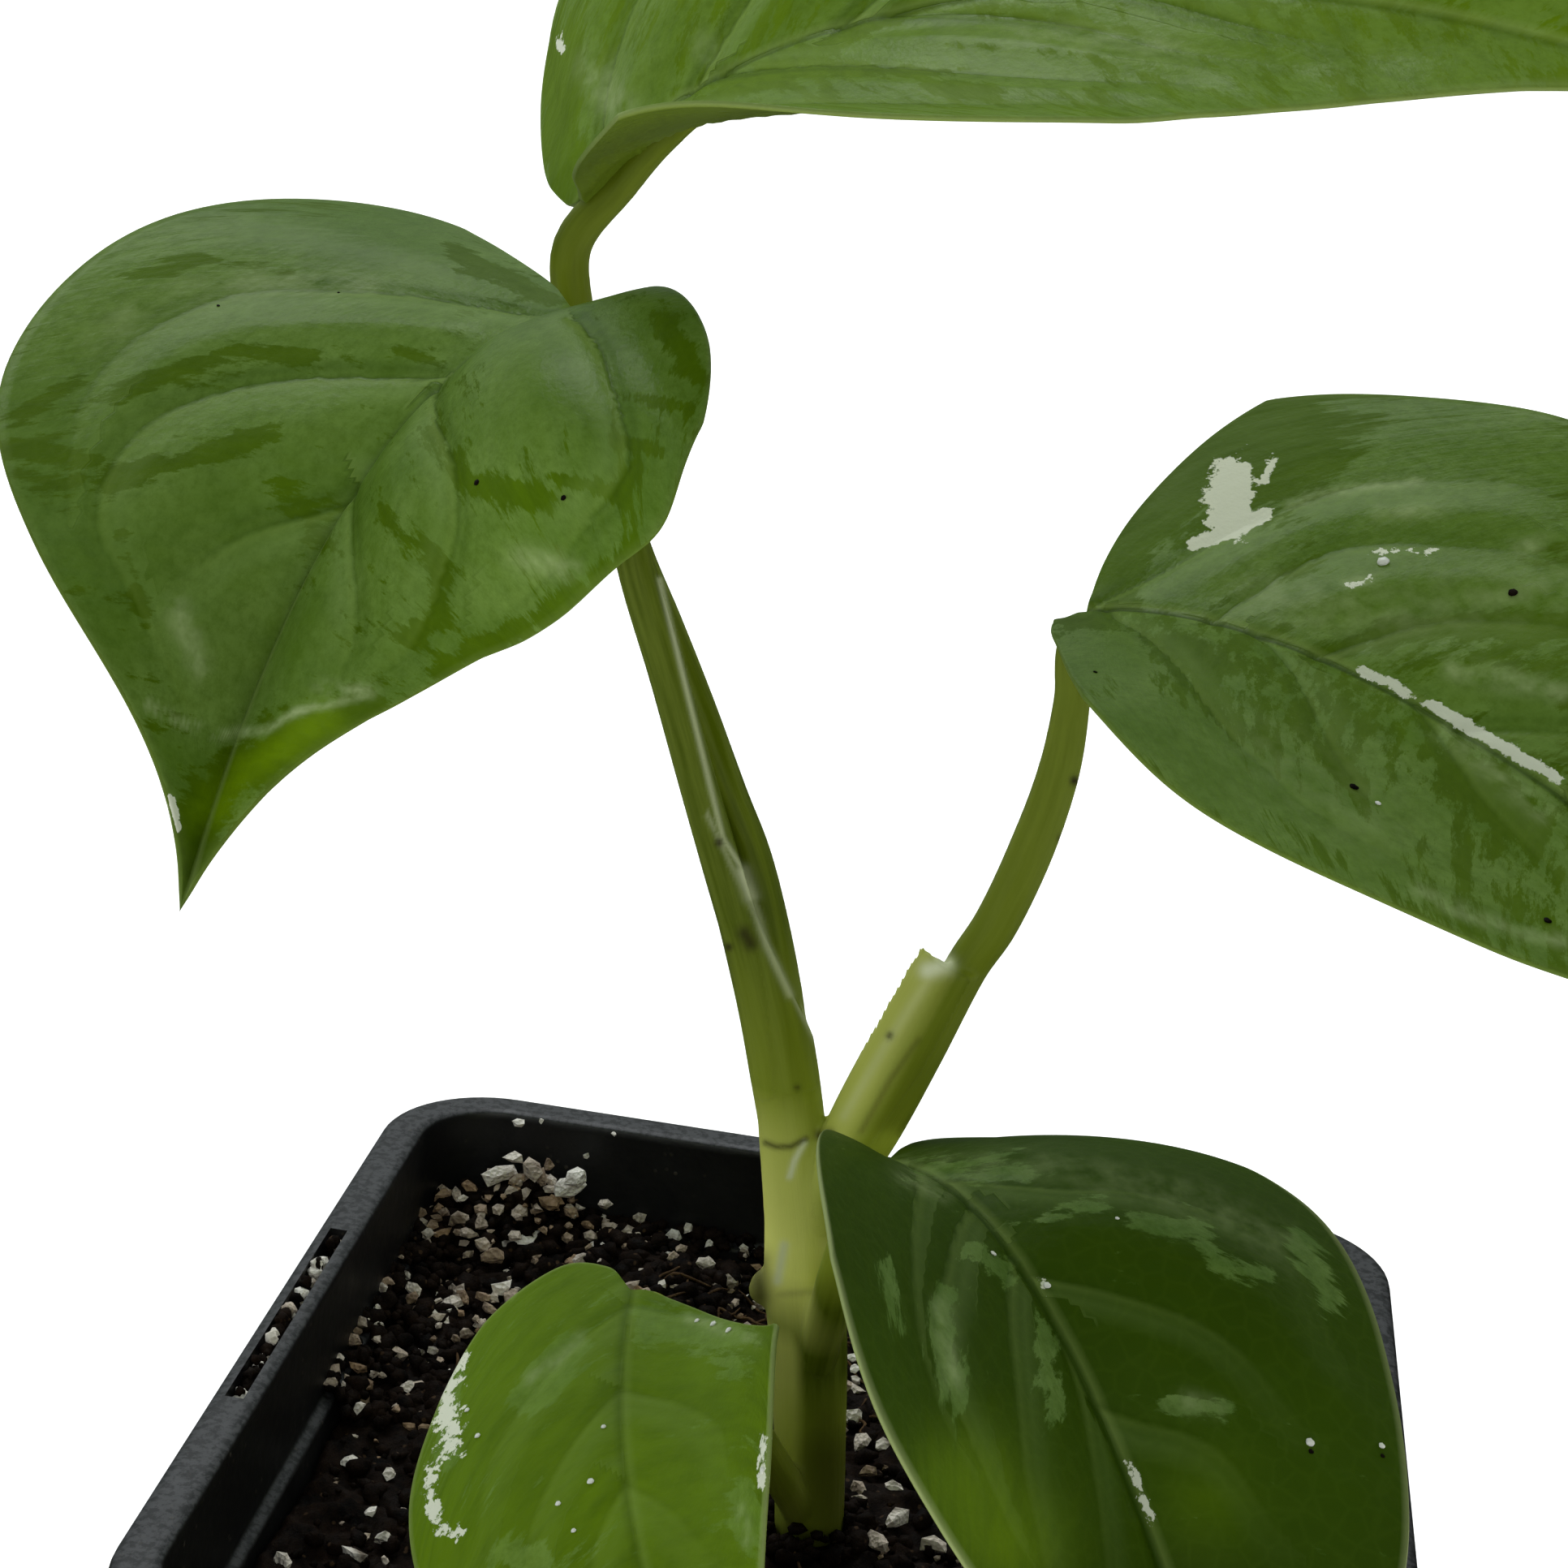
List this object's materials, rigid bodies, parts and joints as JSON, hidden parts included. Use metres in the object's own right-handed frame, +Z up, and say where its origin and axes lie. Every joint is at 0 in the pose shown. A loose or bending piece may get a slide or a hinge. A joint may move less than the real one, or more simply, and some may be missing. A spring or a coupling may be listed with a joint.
{
  "type": "potted plant",
  "caption": "Young climbing houseplant with glossy entire heart-shaped leaves on one stem, in a square black nursery pot filled with a peat and perlite mix.",
  "frame": {"origin": "middle of the pot's underside, on the surface that it stands on", "axes": "+Z up along the pot, +Y to the back of the pot, away from the picture's camera"},
  "size_m": [0.1263, 0.1062, 0.2097],
  "materials": {
    "pot_plastic": "injection-moulded black polypropylene, satin, dusty on the rim",
    "potting_mix": "loose wet peat and bark crumbs with white perlite grains",
    "leaf_tissue": "waxy leaf cuticle, glossy and wet, with paler smooth stem and stalks"
  },
  "bodies": {
    "root": {"pot": "pot_plastic", "soil": "potting_mix", "plant": "leaf_tissue"}
  },
  "joints": []
}
